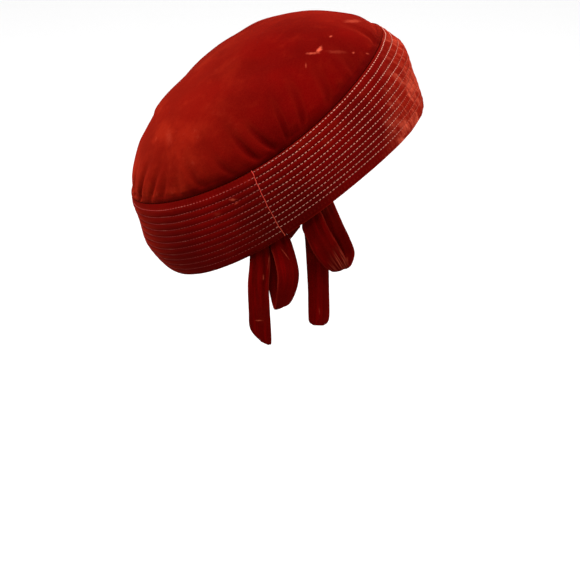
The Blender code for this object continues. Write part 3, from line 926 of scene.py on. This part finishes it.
class HAT_OT_band(Operator):
    """Build the stitched band"""
    bl_idname = "hat.band"
    bl_label = "Band"

    def execute(self, context):
        hat = context.scene.hat_sizes
        stitches = context.scene.hat_stitches
        rounds = seam_rounds(BAND_POINTS_ROUND)[:, None]
        around = around_of(rounds)
        rings = [(1.0, hat.band_wall * 0.30), (0.9965, 0.0003)]
        for row in range(stitches.rows):
            for part in ROW_RINGS:
                off = min(part, 1 - part) * stitches.row_pitch * hat.band_height
                groove = stitches.groove * np.exp(-(off / GROOVE_HALF_WIDTH) ** 2)
                puff = stitches.puff * np.sin(pi * part) ** PUFF_POWER
                rings.append((row_height(stitches, rounds, row + part), groove - puff))
        last = row_height(stitches, rounds, stitches.rows - 1 + ROW_RINGS[-1])
        for part in HEM_RINGS:
            hem = HEM_CREASE_DEPTH * np.exp(-((part - HEM_CREASE_AT) / HEM_CREASE_WIDE) ** 2)
            puff = stitches.puff * 0.6 * (1 - part)
            rings.append((last + (HEM_LOW - last) * part, hem - puff))
        rings += [(height, hat.band_wall * depth) for height, depth in EDGE_RINGS]
        rings += [(height, hat.band_wall) for height in INSIDE_RINGS]
        rings.append((1.0, hat.band_wall * 0.75))
        heights, depths = (np.hstack([np.broadcast_to(value, rounds.shape) for value in column])
                           for column in zip(*rings))
        faces = wall_point(hat, around, heights, 0.0)
        sway = band_sway(faces) * np.clip(12 * (1 - heights), 0, 1)
        press = seam_press(hat, rounds) * hat.seam_depth * (depths < hat.band_wall * 0.6)
        points = wall_point(hat, around, heights, depths + press + sway)
        run = np.broadcast_to(rounds * pi * hat.band_width * 1.02, heights.shape)
        row = (1 - heights - stitches.first_row - stitches.drift * rounds) / stitches.row_pitch
        uvs = np.stack([run, row], axis=-1)
        mesh = skin_mesh("band_velvet", points @ worn_turn(hat).T, True, uvs)
        look = context.scene.hat_look
        sheet = velvet("stitched_velvet", look, look.body, BAND_MARKS, 1.1)
        material = finish_velvet(sheet, *band_wear_and_painted_light(sheet, look, stitches))
        piece = place("band_velvet", mesh, material, "velvet_band", "band")
        return {"FINISHED"}


class HAT_OT_crown(Operator):
    """Build the gathered crown"""
    bl_idname = "hat.crown"
    bl_label = "Crown"

    def execute(self, context):
        hat = context.scene.hat_sizes
        around = SEAM_ANGLE + 2 * pi * np.arange(CROWN_POINTS_ROUND) / CROWN_POINTS_ROUND
        degrees = np.degrees(around)
        tucked = hat.band_wall + hat.gap
        lift = (hat.gap + 0.0004) / hat.band_height
        turned = hat.band_wall * 0.22
        rings = [wall_point(hat, around, 1 - hat.skirt_share, tucked),
                 wall_point(hat, around, 1 - hat.skirt_share / 2, tucked),
                 wall_point(hat, around, 1.0, tucked),
                 wall_point(hat, around, 1 + lift, turned)]
        edge = wall_point(hat, around, 1.0, 0.0)
        middle = np.array([hat.band_width / 2 * hat.top_offset, 0.0])
        hollows = [np.zeros_like(around)] * len(rings)
        folds = [np.zeros_like(around)] * len(rings)
        climbs = [0.0] * len(rings)
        rows = spline(DOME, DOME_STEPS)
        for i, (radius, rise, crease) in enumerate(rows):
            flat = middle + (edge[:, :2] - middle) * radius
            base = hat.band_height * (1 + waves(UPPER_EDGE_WAVES, around) * radius ** 2)
            rings.append(np.column_stack([flat, base + hat.crown_rise * rise]))
            climb = i / (len(rows) - 1)
            climbs.append(climb)
            hollow = np.zeros_like(around)
            for at, wide, part, reach, lean in CREASES:
                spread = wide * (FOLD_FOOT + FOLD_SPREAD * climb)
                off = between(degrees, at + lean * climb / reach) / spread
                fade = bell(climb / reach) * crease
                fold = hat.crease_depth * part * bell(off) ** FOLD_POWER * fade
                hollow = np.maximum(hollow, fold)
            folds.append(hollow / hat.crease_depth)
            place_round = np.column_stack([np.cos(around), np.sin(around),
                                           np.full_like(around, GATHER_STRETCH * climb)])
            gathers = soft_noise(place_round, GATHER_BUMP, GATHER_SHIFT)
            hollow = hollow + hat.gather_depth * gathers * bell(climb / GATHER_REACH) * (i > 0)
            for at, run, wide, reach, depth in DENTS:
                hollow = hollow + hat.dent_depth * depth * (
                    bell(between(degrees, at) / wide) * bell((radius - run) / reach))
            hollows.append(hollow)
        rings = np.array(rings)
        hollows = np.array(hollows)
        fade = np.clip((np.arange(len(rings)) - 3) / 8, 0, 1)[:, None]
        uneven = sway(rings, CROWN_SWAY) * fade
        outer = rings - grid_normals(rings) * (hollows - uneven)[:, :, None]
        inner = (outer - grid_normals(outer) * hat.crown_wall)[::3]
        inner[0] = outer[0] - grid_normals(outer)[0] * hat.crown_wall
        top = np.array([middle[0], 0.0, hat.band_height + hat.crown_rise])
        turn = worn_turn(hat)
        grid = np.concatenate([outer[::-1], inner]) @ turn.T
        apexes = (turn @ top, turn @ (top - np.array([0.0, 0.0, hat.crown_wall])))
        climbs = np.broadcast_to(np.array(climbs)[:, None], hollows.shape)
        # The cloth map keeps each point's fold depth and climb, from which the crown's material
        # paints shade in the folds and along the rim
        uvs = np.stack([np.array(folds), climbs], axis=-1)
        uvs = np.concatenate([uvs[::-1], uvs[::3]])
        mesh = skin_mesh("crown_velvet", grid, False, uvs, apexes)
        look = context.scene.hat_look
        sheet = velvet("crown_velvet", look, look.body, CROWN_MARKS)
        material = finish_velvet(sheet, crown_painted_shade_and_light(sheet, look))
        piece = place("crown_velvet", mesh, material, "velvet_crown", "crown")
        return {"FINISHED"}


class HAT_OT_stitching(Operator):
    """Lay the rows of stitching and the thread of the back seam"""
    bl_idname = "hat.stitching"
    bl_label = "Stitching"

    def execute(self, context):
        hat = context.scene.hat_sizes
        stitches = context.scene.hat_stitches
        turn = worn_turn(hat)
        rounds = np.linspace(ROW_START, 1 - ROW_START, ROW_POINTS)
        lines = []
        for row in range(stitches.rows):
            height = row_height(stitches, rounds, row)
            bare = wall_point(hat, around_of(rounds), height, 0.0)
            wander = soft_noise(bare, ROW_BUMP, ROW_SHIFT + row) * ROW_WANDER
            sunk = bell(between(np.degrees(around_of(rounds)), SUNK_AT) / SUNK_RUN)
            proud = THREAD_PROUD - THREAD_SUNK * sunk
            depth = stitches.groove - stitches.thread * proud + band_sway(bare)
            depth = depth + seam_press(hat, rounds) * hat.seam_depth
            lines.append(wall_point(hat, around_of(rounds), height + wander, depth) @ turn.T)
        look = context.scene.hat_look
        thread = thread_material("row_thread", look.sunk_and_shaded_thread, look.thread, look)
        mesh = lay_stitches("row_stitches", lines, stitches.pitch, stitches.stitch,
                            stitches.thread, stitches.seed, thread)
        place("row_stitches", mesh, thread, "velvet_band")
        heights = np.linspace(SEAM_TOP, SEAM_LOW, SEAM_POINTS)
        bare = wall_point(hat, SEAM_ANGLE, heights, 0.0)
        wander = soft_noise(bare, SEAM_BUMP, SEAM_SHIFT)
        proud = SEAM_PROUD + SEAM_UNEVEN * wander
        depth = hat.seam_depth * 0.5 - stitches.thread * proud + band_sway(bare)
        seam = wall_point(hat, SEAM_ANGLE + SEAM_WANDER * wander, heights, depth) @ turn.T
        thread = thread_material("seam_thread", look.seam, look.crushed_pile_and_highlight, look)
        mesh = lay_stitches("seam_stitches", [seam], stitches.seam_pitch, stitches.seam_stitch,
                            stitches.thread * SEAM_THREAD_SHARE, stitches.seed + 1, thread)
        place("seam_stitches", mesh, thread, "velvet_band")
        return {"FINISHED"}


def knot_middle(hat, bow):
    """Middle of the knot, in the part's axes."""
    depth = hat.band_wall + hat.gap + bow.knot_depth / 2
    return worn_turn(hat) @ wall_point(hat, bow.knot_angle, bow.knot_share, depth)


class HAT_OT_bow(Operator):
    """Build the knot, the two loops and the two tails of the bow"""
    bl_idname = "hat.bow"
    bl_label = "Bow"

    def execute(self, context):
        hat = context.scene.hat_sizes
        bow = context.scene.hat_bow
        look = context.scene.hat_look
        sheet = velvet("ribbon_velvet", look, look.ribbon, RIBBON_MARKS, 1.2)
        ribbon = finish_velvet(sheet, *ribbon_wear_and_painted_light(sheet, look))
        start = knot_middle(hat, bow)
        for name, table, held, flat in RIBBONS:
            points, uvs = self.ribbon(bow, table, start, RIBBON_CREASES[name])
            ends = (points[0].mean(axis=0), points[-1].mean(axis=0))
            mesh = skin_mesh(name + "_ribbon", points, False, uvs, ends)
            piece = place(name + "_ribbon", mesh, ribbon, "velvet_" + name, name)
        points = self.knot(hat, bow)
        ends = (points[0].mean(axis=0), points[-1].mean(axis=0))
        mesh = skin_mesh("bow_knot_ribbon", points, False, None, ends)
        place("bow_knot_ribbon", mesh, ribbon, "velvet_bow_knot", "bow_knot")
        return {"FINISHED"}

    def ribbon(self, bow, table, start, creases):
        """Closed rings along one ribbon, and its place across and along for each point."""
        rows = spline(table, RIBBON_STEPS)
        middle = start + rows[:, :3] * bow.ribbon_width * np.array([1, -1, -1])
        slope = np.radians(rows[:, 3])
        turn = np.radians(rows[:, 4])
        side = np.stack([np.cos(turn), np.sin(turn), np.tan(slope)], axis=1)
        out = np.cross(np.gradient(middle, axis=0), side)
        out /= np.linalg.norm(out, axis=1, keepdims=True)
        at = 2 * pi * (np.arange(RIBBON_POINTS_ROUND) + 0.5) / RIBBON_POINTS_ROUND
        wide = np.cos(at)
        thick = np.sign(np.sin(at)) * (1 - np.abs(wide) ** 3.0) ** 0.5
        run = np.linspace(0, 1, len(rows))[:, None]
        lift = np.repeat(thick[None, :] * bow.ribbon_thickness / 2, len(rows), axis=0)
        for across, spread, depth, first, last in creases:
            along = bell((2 * run - first - last) / (last - first + 0.2))
            lift -= depth / 1000 * bell((wide - across) / spread) * along
        reach = wide * rows[:, 5:6] * bow.ribbon_width / 2
        rings = middle[:, None] + side[:, None] * reach[..., None] + out[:, None] * lift[..., None]
        flutter = sway(rings, RIBBON_SWAY)
        uvs = np.stack(np.broadcast_arrays(wide, run), axis=-1)
        return rings + out[:, None] * flutter[..., None], uvs

    def knot(self, hat, bow):
        """Closed rings along the knot and its two arms, inside the band's wall."""
        radius = hat.band_width / 2 * hat.length_ratio
        head = bow.ribbon_width * bow.arm_top
        foot = bow.ribbon_width * bow.arm_foot
        turn = 2 * pi * np.arange(KNOT_POINTS_ROUND) / KNOT_POINTS_ROUND
        rings = []
        for lengths, widths, drop, fat in spline(KNOT_SHAPE, KNOT_STEPS):
            along = (lengths + bow.knot_shift) * bow.knot_length + widths * bow.ribbon_width
            bottom = foot - drop * (foot + bow.knot_drop)
            fold = fat * (1 - 0.06 * (1 + np.cos(5 * turn + along / bow.knot_length)))
            depth = hat.band_wall + hat.gap + bow.knot_depth / 2 * (1 + fold * np.cos(turn))
            rise = (head + bottom) / 2 + (head - bottom) / 2 * fold * np.sin(turn)
            below = np.minimum(rise, 0.0)
            at = (along + bow.knot_slant * below) / radius
            ring = wall_point(hat, bow.knot_angle + at, 0.0, depth - bow.knot_tuck * below)
            ring[:, 2] += rise
            rings.append(ring)
        return np.array(rings) @ worn_turn(hat).T


class HAT_OT_studio(Operator):
    """Add the floor, the soft lights and the camera"""
    bl_idname = "hat.studio"
    bl_label = "Studio"

    def execute(self, context):
        scene = context.scene
        studio = scene.hat_studio
        scene.view_settings.view_transform = "Standard"
        self.surround(scene, studio)
        self.floor()
        self.lamp("overhead_light", "SUN", studio.sky, (0.0, 0.0, 0.0), OVERHEAD_TURN,
                  angle=OVERHEAD_SPREAD)
        for name, offset, size, power in (("key_light", KEY_OFFSET, KEY_SIZE, studio.key),
                                          ("side_light", SIDE_OFFSET, SIDE_SIZE, studio.side)):
            offset = Vector(offset)
            turn = (-offset).to_track_quat("-Z", "Y").to_euler()
            self.lamp(name, "AREA", power, Vector(LIGHT_AIM) + offset, turn,
                      shape="DISK", size=size)
        self.camera(scene, studio)
        return {"FINISHED"}

    def surround(self, scene, studio):
        world = bpy.data.worlds.new("white_surround")
        world.use_nodes = True
        tree = world.node_tree
        back = tree.nodes["Background"]
        back.inputs["Color"].default_value = (1.0, 1.0, 1.0, 1.0)
        seen = tree.nodes.new("ShaderNodeLightPath")
        level = tree.nodes.new("ShaderNodeMapRange")
        level.inputs["To Min"].default_value = studio.surround
        level.inputs["To Max"].default_value = 1.0
        tree.links.new(seen.outputs["Is Camera Ray"], level.inputs["Value"])
        tree.links.new(level.outputs["Result"], back.inputs["Strength"])
        scene.world = world

    def floor(self):
        points = []
        for x in (-4.0, 4.0):
            for i in range(25):
                bend = min(max((i - 8) / 12, 0), 1) * pi / 2
                y = -3.0 + 0.5 * min(i, 8) + 0.9 * np.sin(bend)
                z = -0.42 + 0.9 * (1 - np.cos(bend)) + 0.7 * max(i - 20, 0)
                points.append((x, y, z))
        faces = [(i, i + 1, i + 26, i + 25) for i in range(24)]
        mesh = bpy.data.meshes.new("pale_floor")
        mesh.from_pydata(points, [], faces)
        mesh.shade_smooth()
        sheet = Sheet("pale_floor")
        grain = sheet.noise(sheet.object_place(), 3.0, 2.0)
        tone = sheet.mix(grain * 0.2, (0.93, 0.93, 0.93), (0.90, 0.90, 0.905))
        sheet.set(sheet.shader, {"Base Color": tone, "Roughness": 0.9,
                                 "Emission Color": (1.0, 1.0, 1.0, 1.0),
                                 "Emission Strength": 0.16})
        mesh.materials.append(sheet.material)
        floor = bpy.data.objects.new("pale_floor", mesh)
        floor.visible_diffuse = False
        floor.visible_glossy = False
        bpy.context.scene.collection.objects.link(floor)

    def lamp(self, name, kind, energy, place, turn, **settings):
        data = bpy.data.lights.new(name, kind)
        data.energy = energy
        for key, value in settings.items():
            setattr(data, key, value)
        lamp = bpy.data.objects.new(name, data)
        lamp.location = place
        lamp.rotation_euler = turn
        bpy.context.scene.collection.objects.link(lamp)

    def camera(self, scene, studio):
        data = bpy.data.cameras.new("camera")
        data.lens = CAMERA_LENS
        data.sensor_width = CAMERA_SENSOR
        camera = bpy.data.objects.new("camera", data)
        camera.location = CAMERA_PLACE
        camera.rotation_euler = (pi / 2 - studio.camera_height, 0.0, 0.0)
        scene.collection.objects.link(camera)
        scene.camera = camera


class HAT_PT_panel(Panel):
    """Lists the hat's pieces and their settings"""
    bl_idname = "HAT_PT_panel"
    bl_label = "Velvet Pillbox Hat"
    bl_space_type = "VIEW_3D"
    bl_region_type = "UI"
    bl_category = "Hat"

    def draw(self, context):
        for group in SETTINGS:
            box = self.layout.box()
            values = getattr(context.scene, group)
            for key in values.__annotations__:
                box.prop(values, key)
        for operator in OPERATORS:
            self.layout.operator(operator.bl_idname)


OPERATORS = (HAT_OT_studio, HAT_OT_band, HAT_OT_crown, HAT_OT_stitching, HAT_OT_bow)
CLASSES = (*SETTINGS.values(), *OPERATORS, HAT_PT_panel)


def register():
    for kind in CLASSES:
        bpy.utils.register_class(kind)
    for group, kind in SETTINGS.items():
        setattr(bpy.types.Scene, group, PointerProperty(type=kind))


def unregister():
    for group in SETTINGS:
        delattr(bpy.types.Scene, group)
    for kind in reversed(CLASSES):
        bpy.utils.unregister_class(kind)


def main():
    register()
    bpy.ops.hat.studio()
    bpy.ops.hat.band()
    bpy.ops.hat.crown()
    bpy.ops.hat.stitching()
    bpy.ops.hat.bow()
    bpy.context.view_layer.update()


if __name__ == "__main__":
    main()
